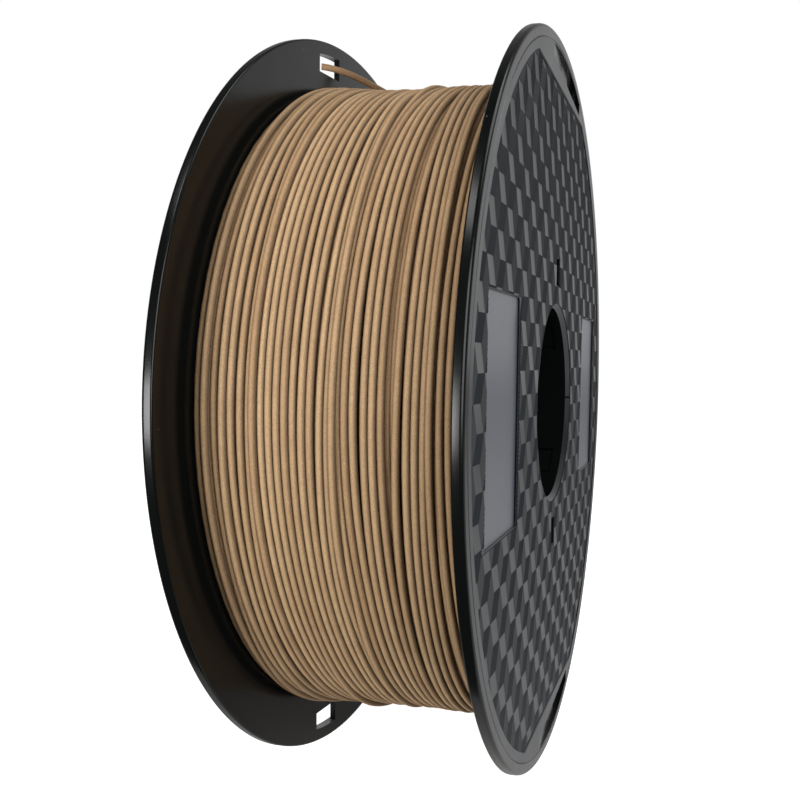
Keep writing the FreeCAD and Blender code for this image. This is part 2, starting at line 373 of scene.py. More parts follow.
def snap_channel(s, angle):
    """A cutter for the channel that takes the other half's snap finger."""
    reach = s.half_width - SNAP_FACE_DEPTH + SNAP_GAP
    half = SNAP_WIDTH / 2 + SNAP_GAP
    points, faces = block((s.bore_radius - 2 * MM, s.bore_radius + s.bore_wall + 1 * MM), (-reach, 1 * MM),
                          (-half, half))
    return turned_points(points, angle), faces


def snap_bridge(s, angle):
    """The bridge behind the channel that a snap nose catches on."""
    tube = s.bore_radius + s.bore_wall
    low = -(s.half_width - SNAP_FACE_DEPTH) + SNAP_NOSE[0] + SNAP_GAP
    half, foot = SNAP_WIDTH / 2 + SNAP_GAP, 2 * MM
    section = [(tube + SNAP_GAP, -half), (tube + SNAP_GAP, half), (s.bore_radius + 1 * MM, half),
               (s.bore_radius + 1 * MM, half + foot), (tube + SNAP_BRIDGE[1], half + foot),
               (tube + SNAP_BRIDGE[1], -half - foot), (s.bore_radius + 1 * MM, -half - foot),
               (s.bore_radius + 1 * MM, -half)]
    points, faces = stacked([[(x, y, z) for x, z in section] for y in (low, low + SNAP_BRIDGE[0])])
    return turned_points(points, angle), faces


def snap_finger(s, angle):
    """A springy finger on the bore tube, its outer end thickened into a nose."""
    tube = s.bore_radius + s.bore_wall
    reach = s.half_width - SNAP_FACE_DEPTH
    spread = math.degrees(math.asin(SNAP_WIDTH / 2 / tube))
    nose_length, nose_height = SNAP_NOSE
    shoulder = reach - nose_length
    stations = [(-SNAP_ROOT, 0), (shoulder - 0.02 * MM, 0), (shoulder, nose_height + SNAP_GAP),
                (reach, -SNAP_TIP_TAPER)]
    loops = []
    for y, rise in stations:
        section = arc((0, 0), s.bore_radius + SNAP_GAP, spread, -spread, 6)
        section += arc((0, 0), tube - SNAP_GAP + rise, -spread, spread, 6)
        loops.append([(x, y, z) for x, z in section])
    points, faces = stacked(loops)
    return turned_points(points, angle), faces


RIB_COUNT = 8
RIB_FIRST_ANGLE = 22.5
RIB_THICKNESS = 1.8 * MM
RIB_EMBED = 0.3 * MM
RIB_END = -3.3 * MM


def ribs(s):
    """The webs between the bore tube and the drum, their edges sunk a little into both."""
    inner, outer = s.bore_radius + s.bore_wall - RIB_EMBED, s.drum_radius - s.drum_wall + RIB_EMBED
    start = -s.half_width + s.flange_thickness - RIB_EMBED
    parts = []
    for i in range(RIB_COUNT):
        points, faces = block((inner, outer), (start, RIB_END), (-RIB_THICKNESS / 2, RIB_THICKNESS / 2))
        parts.append((turned_points(points, RIB_FIRST_ANGLE + 360 / RIB_COUNT * i), faces))
    return joined(parts)


def half_mesh(s):
    """The front half moulding as one closed mesh."""
    face = -s.half_width
    mesh = mesh_from("spool_half", *lathe(half_profile(s), 240))
    labels = [sorted((side * s.label_inner_x, side * s.label_outer_x)) for side in (-1, 1)]
    label_z = (-s.label_half_height, s.label_half_height)
    cutters = [recess(lambda offset: field_outline(s, offset), face, s.field_depth)]
    for x in labels:
        cutters.append(recess(lambda offset, x=x: rounded_outline(x, label_z, LABEL_CORNER, offset), face,
                              s.label_depth, edge=s.field_depth + 0.12 * MM, proud=0.3 * MM))
    for side in (-1, 1):
        z = sorted((side * s.slot_inner_z, side * s.slot_outer_z))
        cutters.append(block((-s.slot_width / 2, s.slot_width / 2), (face - 1 * MM, face + SLOT_DEPTH), z))
        cutters.append(pocket_cutter(s, side))
    cutters += [snap_channel(s, angle) for angle in SNAP_ANGLES]
    mesh = combine(mesh, cutters, "DIFFERENCE")
    snaps = [snap_bridge(s, angle) for angle in SNAP_ANGLES]
    snaps += [snap_finger(s, 180 - angle) for angle in SNAP_ANGLES]
    mesh = combine(mesh, [ribs(s), joined(snaps)], "UNION")
    smooth_by_angle(mesh, SHARP_EDGE_ANGLE)
    return mesh


def mark_finishes(mesh, s):
    """Numbers each face's material: 0 polished, 1 satin on the outer face, 2 on the label panels' floors."""
    label_floor = -s.half_width + s.label_depth
    for face in mesh.polygons:
        centre = face.center
        outward = face.normal.y < -0.3 and centre.y < label_floor + 0.1 * MM
        pocket = centre.y > -s.half_width + 0.01 * MM and abs(centre.z) > s.field_half_height + 0.6 * MM
        inside = math.hypot(centre.x, centre.z) < s.bead_radius and not pocket
        label = abs(centre.y - label_floor) < 0.02 * MM and abs(centre.x) > s.label_inner_x
        face.material_index = 0 if not (outward and inside) else 2 if label else 1


# The relief of the outer faces


def clip(polygon, normal, limit):
    """The part of a convex polygon where normal . p >= limit."""
    result = []
    for (ax, az), (bx, bz) in zip(polygon, polygon[1:] + polygon[:1]):
        a = normal[0] * ax + normal[1] * az - limit
        b = normal[0] * bx + normal[1] * bz - limit
        if a >= 0:
            result.append((ax, az))
        if (a > 0 > b) or (a < 0 < b):
            t = a / (a - b)
            result.append((ax + (bx - ax) * t, az + (bz - az) * t))
    return result


def area(polygon):
    """A polygon's area."""
    pairs = zip(polygon, polygon[1:] + polygon[:1])
    return abs(sum(a[0] * b[1] - a[1] * b[0] for a, b in pairs)) / 2


RELIEF_MARGIN = 0.1 * MM
WINDOW_MARGIN = 0.25 * MM
SMALLEST_STRIP = 1e-9


def trimmed(polygon, s):
    """What is left of a narrow strip inside the field and outside the bore, labels and slots."""
    half = s.field_half_height - RELIEF_MARGIN
    for normal in ((0, 1), (0, -1)):
        polygon = clip(polygon, normal, -half)
        if len(polygon) < 3:
            return []
    cx, cz = (sum(p[i] for p in polygon) / len(polygon) for i in (0, 1))
    out = math.hypot(cx, cz)
    direction = (cx / out, cz / out)
    polygon = clip(polygon, (-direction[0], -direction[1]), -(s.field_radius - RELIEF_MARGIN))
    if len(polygon) >= 3:
        polygon = clip(polygon, direction, s.bore_radius + s.bore_chamfer + RELIEF_MARGIN)
    gap = WINDOW_MARGIN
    label_x, label_half = (s.label_inner_x + s.label_outer_x) / 2, (s.label_outer_x - s.label_inner_x) / 2
    slot_z, slot_half = (s.slot_inner_z + s.slot_outer_z) / 2, (s.slot_outer_z - s.slot_inner_z) / 2
    windows = [(side * label_x, 0, label_half + gap, s.label_half_height + gap) for side in (-1, 1)]
    windows += [(0, side * slot_z, s.slot_width / 2 + gap, slot_half + gap) for side in (-1, 1)]
    for wx, wz, half_x, half_z in windows:
        if len(polygon) < 3:
            return []
        xs, zs = [p[0] for p in polygon], [p[1] for p in polygon]
        if max(xs) < wx - half_x or min(xs) > wx + half_x or max(zs) < wz - half_z or min(zs) > wz + half_z:
            continue
        sides = (((1, 0), wx + half_x), ((-1, 0), half_x - wx), ((0, 1), wz + half_z),
                 ((0, -1), half_z - wz))
        kept = [clip(polygon, normal, limit) for normal, limit in sides]
        polygon = max(kept, key=lambda p: area(p) if len(p) >= 3 else 0)
    return polygon if len(polygon) >= 3 and area(polygon) > SMALLEST_STRIP else []


def tiles(p, s):
    """Each tile as (corners, groove direction, slope), three tiles round each point of the lattice."""
    level = (p.tile_width, 0)
    down_right, down_left = (p.tile_width / 2, -p.tile_rise), (-p.tile_width / 2, -p.tile_rise)
    reach = int(s.field_radius / p.tile_rise) + 2
    for i in range(-2 * reach, 2 * reach):
        for j in range(-2 * reach, 2 * reach):
            x = p.start_x + 1.5 * p.tile_width * i
            z = p.start_z - p.tile_rise * i + 2 * p.tile_rise * j
            if math.hypot(x, z) > s.field_radius + 2 * p.tile_rise:
                continue
            centre = (x - level[0] / 2 + down_right[0] / 2, z + down_right[1] / 2)
            yield rhombus(centre, level, (-down_right[0], -down_right[1])), level, p.level_slope
            yield rhombus(centre, level, down_left), down_left, p.side_slope
            yield rhombus(centre, (-down_right[0], -down_right[1]), down_left), down_right, p.side_slope


def rhombus(corner, a, b):
    """Four corners from one corner and two edges."""
    x, z = corner
    return [(x, z), (x + a[0], z + a[1]), (x + a[0] + b[0], z + a[1] + b[1]), (x + b[0], z + b[1])]


def groove_strips(corners, along, slope, pitch):
    """Cuts a tile into strips along its grooves, each as (strip, direction across, middle, slope)."""
    size = math.hypot(*along)
    across = (-along[1] / size, along[0] / size)
    if across[0] > 0.01:
        across = (-across[0], -across[1])
    places = [across[0] * x + across[1] * z for x, z in corners]
    count = max(1, round((max(places) - min(places)) / pitch))
    width = (max(places) - min(places)) / count
    for k in range(count):
        low = min(places) + width * k
        strip = clip(corners, across, low)
        strip = clip(strip, (-across[0], -across[1]), -(low + width)) if len(strip) >= 3 else []
        if len(strip) >= 3:
            yield strip, across, low + width / 2, slope


def relief_mesh(p, s):
    """The grooved tiles of one outer face, each groove a narrow wedge that stands on the field's floor."""
    floor = -s.half_width + s.field_depth + 0.03 * MM
    mean = -s.half_width + p.relief_depth
    parts = []
    for corners, along, slope in tiles(p, s):
        for strip, across, middle, tilt in groove_strips(corners, along, slope, p.groove_pitch):
            outline = trimmed(strip, s)
            if not outline:
                continue
            top = [(x, mean + tilt * (across[0] * x + across[1] * z - middle), z) for x, z in outline]
            parts.append(stacked([[(x, floor, z) for x, z in outline], top]))
    return mesh_from("face_relief", *joined(parts))


# The filament


def drift(rng, turns, knots):
    """Smooth unevenness over a winding: random knots, a few to the turn, joined by a cubic curve."""
    count = int(turns * knots) + 5
    values = rng.uniform(-1, 1, count)

    def at(u):
        """The unevenness at places counted in turns."""
        t = u * knots + 1
        i = np.clip(t.astype(int), 1, count - 3)
        f = t - i
        a, b, c, d = values[i - 1], values[i], values[i + 1], values[i + 2]
        return b + 0.5 * f * (c - a + f * (2 * a - 5 * b + 4 * c - d + f * (3 * (b - c) + d - a)))

    return at


def running_mean(values, width):
    """A running mean along a strand, its ends held."""
    padded = np.pad(values, width // 2, mode="edge")
    return np.convolve(padded, np.ones(width) / width, mode="valid")


def push_apart(place, radius, back, diameter):
    """Moves points of a strand and those some turns earlier apart where they overlap."""
    d_place = place[back:] - place[:-back]
    d_radius = radius[back:] - radius[:-back]
    distance = np.maximum(np.hypot(d_place, d_radius), 1e-6)
    push = 0.5 * np.clip(diameter - distance, 0, None) / distance
    place[back:] += push * d_place
    place[:-back] -= push * d_place
    radius[back:] += push * d_radius
    radius[:-back] -= push * d_radius


def rest_on(place, radius, low_place, low_radius, diameter):
    """Lifts a strand's points off the strands below that they overlap."""
    for k in range(low_place.shape[1]):
        d_place = place - low_place[:, k]
        d_radius = radius - low_radius[:, k]
        distance = np.maximum(np.hypot(d_place, d_radius), 1e-6)
        push = np.clip(diameter - distance, 0, None) / distance
        place += push * d_place
        radius += push * np.abs(d_radius)


SETTLE_ROUNDS = 200
SINK_FIRST, SINK_LAST = 0.045, 0.002
PULL_HOME = 0.08
NEST_DEPTH = 0.7


def wind_layer(places, below, steps, diameter, edges):
    """Settles one helical layer on the layer below. places holds where each point wants to be on the axis."""
    place, radius = places.copy(), np.full(len(places), below[1].max() + diameter)
    order = np.arange(len(places)) % steps
    low_place, low_radius = below[0][order], below[1][order]
    lowest = low_radius.min(axis=1) + NEST_DEPTH * diameter
    for step in range(SETTLE_ROUNDS):
        pull = 1 - step / SETTLE_ROUNDS
        radius -= (SINK_FIRST * pull + SINK_LAST) * diameter
        place += PULL_HOME * pull * (places - place)
        place = 0.5 * (place + running_mean(place, 5))
        radius = 0.5 * (radius + running_mean(radius, 5))
        for back in (1, 2, 3, 1):
            push_apart(place, radius, back * steps, diameter)
        rest_on(place, radius, low_place, low_radius, diameter)
        place, radius = np.clip(place, edges[0], edges[1]), np.maximum(radius, lowest)
    return running_mean(place, 3), running_mean(radius, 3)


def by_angle(place, radius, steps):
    """A layer's points by angle: two tables with a row for each angle and a column for each turn."""
    turns = len(place) // steps
    full = turns * steps
    return place[:full].reshape(turns, steps).T, radius[:full].reshape(turns, steps).T


def strand_solid(angle, place, radius, strand_radius, sides):
    """Points and faces of a round strand wound about the spool's axis, with closed ends."""
    outward = np.stack([np.cos(angle), np.zeros_like(angle), np.sin(angle)], 1)
    path = outward * radius[:, None] + np.array([0, 1, 0]) * place[:, None]
    turn = np.arange(sides) * 2 * math.pi / sides
    axis = np.array([0, 1, 0])
    ring = np.cos(turn)[None, :, None] * outward[:, None, :] + np.sin(turn)[None, :, None] * axis
    points = (path[:, None, :] + strand_radius * ring).reshape(-1, 3)
    rows = np.arange(len(path) - 1)[:, None] * sides
    here = np.arange(sides)[None, :]
    ahead = (here + 1) % sides
    quads = np.stack([rows + here, rows + ahead, rows + sides + ahead, rows + sides + here], -1)
    faces = [tuple(face) for face in quads.reshape(-1, 4).tolist()]
    faces += [tuple(range(sides)), tuple(range(len(points) - sides, len(points)))]
    return [tuple(p) for p in points.tolist()], faces


SWAY_KNOTS = 0.23


def sway(rng, turns):
    """Unevenness that neighbouring turns share, as it changes only slowly from turn to turn."""
    waves = [(order, drift(rng, turns, SWAY_KNOTS), drift(rng, turns, SWAY_KNOTS)) for order in (1, 2, 3)]

    def at(u):
        """The unevenness at places counted in turns."""
        total = 0
        for n, a, b in waves:
            angle = 2 * math.pi * n * u
            total = total + (a(u) * np.cos(angle) + b(u) * np.sin(angle)) / n
        return total

    return at


POINTS_PER_TURN = 144
TOP_SIDES, LOW_SIDES, CORE_SEGMENTS = 12, 8, 128
LOW_LAYER_DROP = 1.38
LOW_LAYER_RIPPLE = 0.12
HEAP_START, HEAP_WIDTH, HEAP_CURVE = 0.3, 0.6, 1.5
TOP_STRAND_SLACK = 0.968
TURN_TONE, STRETCH_TONE, TONE_RUN = 0.26, 0.16, 41
# Painted shade: the lower layer and the inner body are given darker tones than the top layer's middle tone,
# for the shade below the top strands.
LOW_LAYER_PAINTED_SHADE_TONE, LOW_TONE_DRIFT, CORE_PAINTED_SHADE_TONE = 0.22, 0.2, 0.2


def winding_mesh(w, drum_radius):
    """The wound filament: an inner body, a lower layer and the top layer, with a tone for each stretch; the
    lower layer and the inner body get darker tones as painted shade.
    """
    rng = np.random.default_rng(w.seed)
    d, edge = w.strand_diameter, w.half_width - w.strand_diameter / 2
    steps = POINTS_PER_TURN
    low_turns = w.turns - 3
    u = np.arange(low_turns * steps + steps) / steps
    low_pitch = 2 * edge / low_turns
    low_place = edge - low_pitch * (u - 0.5) + w.wander * drift(rng, low_turns + 1, 1.6)(u)
    low_place = np.clip(low_place + 0.3 * w.sway * sway(rng, low_turns + 1)(u), -edge, edge)
    low_radius = np.full(len(u), w.outer_radius - LOW_LAYER_DROP * d - d / 2)
    low_radius = low_radius + LOW_LAYER_RIPPLE * d * drift(rng, low_turns + 1, 1.3)(u)
    rise = np.clip((low_place - HEAP_START * edge) / (HEAP_WIDTH * edge), 0, 1) ** HEAP_CURVE
    low_radius = low_radius + w.heap * rise
    below = by_angle(low_place, low_radius, steps)

    top_turns = w.top_turns
    v = np.arange(top_turns * steps) / steps
    top_low, top_high = -edge, edge - 1.3 * d
    pitch = (top_high - top_low) / (top_turns - 1)
    wish = top_low + pitch * (v - 0.5) + w.sway * sway(rng, top_turns)(v)
    wish = wish + w.wander * (drift(rng, top_turns, 1.3)(v) + 0.5 * drift(rng, top_turns, 3.1)(v))
    top_place, top_radius = wind_layer(wish, below, steps, d, (top_low, top_high))
    settled = w.outer_radius - d / 2 - np.percentile(top_radius[:len(v) // 2], 60)
    top_radius += settled
    low_radius += settled

    tone_turn = rng.uniform(-1, 1, top_turns + 1)
    turn_of = np.minimum((v + 0.35 * drift(rng, top_turns, 0.7)(v)).astype(int), top_turns)
    tone = 0.5 + TURN_TONE * tone_turn[turn_of]
    tone = running_mean(tone, TONE_RUN) + STRETCH_TONE * drift(rng, top_turns, 2.3)(v)
    top = strand_solid(2 * math.pi * v, top_place, top_radius, TOP_STRAND_SLACK * d / 2, TOP_SIDES)
    solids = [(top, np.repeat(tone, TOP_SIDES))]
    thin = slice(0, None, 2)
    # Painted shade: the lower layer's tone sits low, for the shade beneath the top layer; its drift is random
    # tone.
    low_tone_with_painted_shade = LOW_LAYER_PAINTED_SHADE_TONE + LOW_TONE_DRIFT * drift(rng, low_turns + 1, 1.7)(u)
    low = strand_solid(2 * math.pi * u[thin], low_place[thin], low_radius[thin], d / 2, LOW_SIDES)
    solids.append((low, np.repeat(low_tone_with_painted_shade[thin], LOW_SIDES)))
    # The inner body blocks the view into the gaps between strands; its dark tone is painted shade.
    core_radius = float(low_radius.min()) - 0.2 * d
    core = lathe([(core_radius, -w.half_width), (core_radius, w.half_width), (drum_radius, w.half_width),
                  (drum_radius, -w.half_width)], CORE_SEGMENTS)
    solids.append((core, np.full(len(core[0]), CORE_PAINTED_SHADE_TONE)))
    mesh = mesh_from("filament_winding_strands", *joined([solid for solid, _ in solids]))
    mesh.shade_smooth()
    attribute = mesh.attributes.new("strand_tone", "FLOAT", "POINT")
    tones = np.concatenate([t for _, t in solids]).astype(np.float32)
    attribute.data.foreach_set("value", tones)
    return mesh


TAIL_ROUTE = ((32.9, 14, 81.4), (15.3, 14, 87.3), (-1.5, 21.5, 90.2), (-12.8, 28.8, 92.8),
              (-14.8, 33.8, 93.2))


def tail_curve(w):
    """The free end of the filament as a round curve."""
    curve = bpy.data.curves.new("filament_tail_end", "CURVE")
    curve.dimensions = "3D"
    spline = curve.splines.new("NURBS")
    spline.points.add(len(TAIL_ROUTE) - 1)
    for point, place in zip(spline.points, TAIL_ROUTE):
        point.co = (*(c * MM for c in place), 1)
    spline.order_u = 3
    spline.use_endpoint_u = True
    spline.use_smooth = True
    spline.resolution_u = 12
    curve.bevel_depth = w.strand_diameter / 2
    curve.bevel_resolution = 4
    curve.use_fill_caps = True
    return curve


# Finishes


class Nodes:
    """A node tree that is easy to build: add() makes a node, sets its inputs and links what is a socket."""

    def __init__(self, tree):
        self.tree = tree

    def add(self, kind, settings=None, **inputs):
        """A new node with its settings and inputs; a name's underscores stand for spaces."""
        node = self.tree.nodes.new(kind)
        for name, value in (settings or {}).items():
            setattr(node, name, value)
        for name, value in inputs.items():
            self.give(node, name.replace("_", " "), value)
        return node

    def give(self, node, name, value):
        """Links a socket to an input, or sets the input's own value."""
        socket = node.inputs[int(name)] if name.isdigit() else node.inputs[name]
        if isinstance(value, bpy.types.NodeSocket):
            self.tree.links.new(value, socket)
        else:
            socket.default_value = value

    def math(self, operation, a, b=0.0):
        """A sum, product or other operation on two values."""
        node = self.tree.nodes.new("ShaderNodeMath")
        node.operation = operation
        self.give(node, "0", a)
        self.give(node, "1", b)
        return node.outputs[0]

    def noise(self, vector, scale, detail=2.0, roughness=0.5):
        """Noise at that many cells to the metre."""
        node = self.add("ShaderNodeTexNoise", Vector=vector, Scale=scale, Detail=detail, Roughness=roughness)
        return node.outputs["Fac"]

    def spread(self, value, low, high, to_low=0.0, to_high=1.0):
        """A range of values spread over another range, and held at its ends."""
        node = self.add("ShaderNodeMapRange", {"clamp": True})
        for name, number in (("Value", value), ("From Min", low), ("From Max", high), ("To Min", to_low),
                             ("To Max", to_high)):
            self.give(node, name, number)
        return node.outputs["Result"]

    def mix(self, share, a, b, blend="MIX"):
        """Two colours mixed."""
        node = self.add("ShaderNodeMix", {"data_type": "RGBA", "blend_type": blend})
        self.give(node, "0", share)
        self.give(node, "6", a)
        self.give(node, "7", b)
        return node.outputs[2]

    def place(self):
        """The place on the object, in metres."""
        return self.add("ShaderNodeTexCoord").outputs["Object"]


def rgba(value):
    """A colour with its fourth number."""
    return (value[0], value[1], value[2], 1.0)


def effect_group(name, inputs, outputs):
    """A shader node group with named sockets. Returns its nodes, its inputs' sockets and its output node."""
    tree = bpy.data.node_groups.new(name, "ShaderNodeTree")
    kinds = {"value": "NodeSocketFloat", "colour": "NodeSocketColor", "vector": "NodeSocketVector"}
    for label, kind, default in inputs:
        socket = tree.interface.new_socket(label, in_out="INPUT", socket_type=kinds[kind])
        if default is not None:
            socket.default_value = default
    for label, kind in outputs:
        tree.interface.new_socket(label, in_out="OUTPUT", socket_type=kinds[kind])
    source = tree.nodes.new("NodeGroupInput")
    target = tree.nodes.new("NodeGroupOutput")
    return Nodes(tree), source.outputs, target


COARSE_SHARE = 0.22
PATCH_SCALE, SPECK_SCALE, SPECK_PLACES_SCALE = 38.0, 420.0, 95.0
DUST_COLOUR = (0.32, 0.32, 0.31, 1)
CLOUD_SCALE, FIBRE_SCALE, FLAKE_SCALE, FLAKE_PLACES_SCALE = 120.0, 3600.0, 1500.0, 700.0
FLAKE_COLOUR = (0.86, 0.72, 0.52, 1)
# Painted shade: how dark the strands' sides that face along the axis are made.
PAINTED_FLANK_SHADE = 0.35


def grain_group():
    """Fine surface grain as a normal."""
    made = bpy.data.node_groups.get("fine_grain")
    if made:
        return made
    inputs = (("Scale", "value", 4000.0), ("Depth", "value", 0.00002), ("Coarseness", "value", 0.3))
    nodes, given, target = effect_group("fine_grain", inputs, (("Normal", "vector"),))
    place = nodes.place()
    fine = nodes.noise(place, given["Scale"], 2.0, 0.6)
    coarse = nodes.noise(place, nodes.math("MULTIPLY", given["Scale"], COARSE_SHARE), 2.0, 0.5)
    height = nodes.math("ADD", fine, nodes.math("MULTIPLY", coarse, given["Coarseness"]))
    bump = nodes.add("ShaderNodeBump", Height=height, Distance=given["Depth"], Strength=1.0)
    nodes.give(target, "Normal", bump.outputs["Normal"])
    return nodes.tree


def handling_group():
    """Traces of handling: slight patches in the gloss, and specks of dust."""
    made = bpy.data.node_groups.get("handling_traces")
    if made:
        return made
    inputs = (("Colour", "colour", None), ("Roughness", "value", 0.3), ("Patches", "value", 0.05),
              ("Dust", "value", 0.3))
    outputs = (("Colour", "colour"), ("Roughness", "value"))
    nodes, given, target = effect_group("handling_traces", inputs, outputs)
    place = nodes.place()
    patch = nodes.spread(nodes.noise(place, PATCH_SCALE, 4.0, 0.6), 0.3, 0.7, -0.5, 0.5)
    cells = nodes.add("ShaderNodeTexVoronoi", Vector=place, Scale=SPECK_SCALE)
    speck = nodes.spread(cells.outputs["Distance"], 0.03, 0.07, 1.0, 0.0)
    kept = nodes.spread(nodes.noise(place, SPECK_PLACES_SCALE, 1.0), 0.60, 0.66)
    dust = nodes.math("MULTIPLY", nodes.math("MULTIPLY", speck, kept), given["Dust"])
    rough = nodes.math("ADD", given["Roughness"], nodes.math("MULTIPLY", patch, given["Patches"]))
    nodes.give(target, "Roughness", nodes.math("ADD", rough, nodes.math("MULTIPLY", dust, 0.5)))
    nodes.give(target, "Colour", nodes.mix(dust, given["Colour"], DUST_COLOUR))
    return nodes.tree


def place_group(nodes, tree, **inputs):
    """Places an effect in a material and returns its outputs."""
    return nodes.add("ShaderNodeGroup", {"node_tree": tree}, **inputs).outputs


def new_finish(name):
    """An empty material, its nodes and its Principled shader."""
    material = bpy.data.materials.new(name)
    material.use_nodes = True
    nodes = Nodes(material.node_tree)
    return material, nodes, material.node_tree.nodes["Principled BSDF"]


def plastic(name, base, roughness, shine, patches, dust, grain_scale, grain_depth):
    """A moulded black plastic."""
    made = bpy.data.materials.get(name)
    if made:
        return made
    material, nodes, shader = new_finish(name)
    traces = place_group(nodes, handling_group(), Colour=rgba(base), Roughness=roughness, Patches=patches,
                         Dust=dust)
    grain = place_group(nodes, grain_group(), Scale=grain_scale, Depth=grain_depth, Coarseness=0.5)
    for socket, value in (("Base Color", traces["Colour"]), ("Roughness", traces["Roughness"]),
                          ("Normal", grain["Normal"]), ("IOR", 1.5), ("Specular IOR Level", shine)):
        nodes.give(shader, socket, value)
    return material


def polished_plastic():
    """The polished black of the rims, inner faces and hub."""
    look = bpy.context.scene.spool_finish
    return plastic("polished_black_plastic", look.gloss_colour, look.gloss_roughness, look.gloss_shine,
                   patches=0.06, dust=0.5, grain_scale=900.0, grain_depth=0.004 * MM)


def satin_plastic():
    """The satin black of the outer faces."""
    look = bpy.context.scene.spool_finish
    return plastic("satin_black_plastic", look.satin_colour, look.satin_roughness, look.satin_shine,
                   patches=0.06, dust=0.5, grain_scale=6000.0, grain_depth=0.008 * MM)


def label_plastic():
    """The smooth satin of the label panels, its lighter grey colour a painted sheen on black plastic."""
    look = bpy.context.scene.spool_finish
    return plastic("smooth_label_plastic", look.label_painted_sheen_colour, look.satin_roughness, look.satin_shine,
                   patches=0.05, dust=0.4, grain_scale=6000.0, grain_depth=0.003 * MM)


def wood_filament():
    """The matte wood-filled filament: speckled tan, shifting in tone, with painted shade darkening the sides
    that face along the axis.
    """
    made = bpy.data.materials.get("wood_filled_filament")
    if made:
        return made
    look = bpy.context.scene.spool_finish
    material, nodes, shader = new_finish("wood_filled_filament")
    place = nodes.place()
    tone = nodes.add("ShaderNodeAttribute", {"attribute_name": "strand_tone"}).outputs["Fac"]
    cloud = nodes.spread(nodes.noise(place, CLOUD_SCALE, 3.0, 0.6), 0.3, 0.7, -0.16, 0.16)
    shade = nodes.spread(nodes.math("ADD", tone, cloud), 0.0, 1.0)
    base = nodes.mix(shade, rgba(look.filament_dark), rgba(look.filament_light))
    grain = place_group(nodes, grain_group(), Scale=5200.0, Depth=0.00005, Coarseness=0.8)
    fibres = nodes.spread(nodes.noise(place, FIBRE_SCALE, 2.0, 0.7), 0.35, 0.65, 0.80, 1.16)
    # Painted shade: the sides of each strand that face its neighbours along the axis are darkened in the base
    # colour, in place of the shade where the turns touch.
    facing = nodes.add("ShaderNodeSeparateXYZ", Vector=nodes.add("ShaderNodeNewGeometry").outputs["Normal"])
    painted_flank_shade = nodes.spread(nodes.math("ABSOLUTE", facing.outputs["Y"]), 0.3, 1.0, 1.0, PAINTED_FLANK_SHADE)
    fibres = nodes.math("MULTIPLY", fibres, painted_flank_shade)
    speckled = nodes.add("ShaderNodeMix", {"data_type": "RGBA", "blend_type": "MULTIPLY"})
    nodes.give(speckled, "0", 1.0)
    nodes.give(speckled, "6", base)
    grey = nodes.add("ShaderNodeCombineColor", Red=fibres, Green=fibres, Blue=fibres).outputs[0]
    nodes.give(speckled, "7", grey)
    flakes = nodes.add("ShaderNodeTexVoronoi", Vector=place, Scale=FLAKE_SCALE)
    flake = nodes.math("MULTIPLY", nodes.spread(flakes.outputs["Distance"], 0.08, 0.16, 1.0, 0.0),
                       nodes.spread(nodes.noise(place, FLAKE_PLACES_SCALE, 1.0), 0.60, 0.64))
    flaked = nodes.mix(nodes.math("MULTIPLY", flake, 0.55), speckled.outputs[2], FLAKE_COLOUR)
    nodes.give(shader, "Base Color", flaked)
    rough = nodes.math("SUBTRACT", look.filament_roughness, nodes.math("MULTIPLY", flake, 0.3))
    nodes.give(shader, "Roughness", rough)
    nodes.give(shader, "Normal", grain["Normal"])
    nodes.give(shader, "IOR", 1.4)
    return material


def floor_finish():
    """The plain pale floor."""
    material, nodes, shader = new_finish("pale_floor")
    tint = nodes.spread(nodes.noise(nodes.place(), 3.0, 2.0), 0.3, 0.7, 0.985, 1.0)
    base = rgba(bpy.context.scene.studio.floor_colour)
    mixed = nodes.add("ShaderNodeCombineColor", Red=tint, Green=tint, Blue=tint).outputs[0]
    nodes.give(shader, "Base Color", nodes.mix(1.0, base, mixed, "MULTIPLY"))
    nodes.give(shader, "Roughness", 0.9)
    nodes.give(shader, "Emission Color", (1, 1, 1, 1))
    seen = nodes.add("ShaderNodeLightPath").outputs["Is Camera Ray"]
    nodes.give(shader, "Emission Strength", nodes.math("MAXIMUM", seen, bpy.context.scene.studio.floor_glow))
    return material


# Operators


def turned_half_round(mesh):
    """A copy of a mesh turned half a turn about Z, for the rear half."""
    copy = mesh.copy()
    copy.transform(Matrix.Rotation(math.pi, 4, "Z"))
    return copy


class SPOOL_OT_halves(bpy.types.Operator):
    """Builds the two half mouldings with their rims, hub, slots, pockets and snaps"""

    bl_idname = "spool.halves"
    bl_label = "Spool halves"

    def execute(self, context):
        sizes = context.scene.spool_sizes
        mesh = half_mesh(sizes)
        mark_finishes(mesh, sizes)
        finishes = [polished_plastic(), satin_plastic(), label_plastic()]
        for name, copy, node in (("half_front", mesh, "spool_half_front"),
                                 ("half_rear", turned_half_round(mesh), "spool_half_rear")):
            piece = finish_piece(name, copy, finishes)
            weighted = piece.modifiers.new("even_shading", "WEIGHTED_NORMAL")
            weighted.keep_sharp = True
            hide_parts(node)
        return {"FINISHED"}


class SPOOL_OT_relief(bpy.types.Operator):
    """Builds the grooved tumbling-block relief of both outer faces"""

    bl_idname = "spool.relief"
    bl_label = "Face relief"

    def execute(self, context):
        mesh = relief_mesh(context.scene.spool_pattern, context.scene.spool_sizes)
        rear = turned_half_round(mesh)
        finish_piece("half_front_relief", mesh, [satin_plastic()])
        finish_piece("half_rear_relief", rear, [satin_plastic()])
        return {"FINISHED"}


class SPOOL_OT_winding(bpy.types.Operator):
    """Winds the filament on the drum"""

    bl_idname = "spool.winding"
    bl_label = "Winding"

    def execute(self, context):
        mesh = winding_mesh(context.scene.spool_winding, context.scene.spool_sizes.drum_radius)
        piece = finish_piece("winding_strands", mesh, [wood_filament()])
        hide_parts("filament_winding")
        return {"FINISHED"}


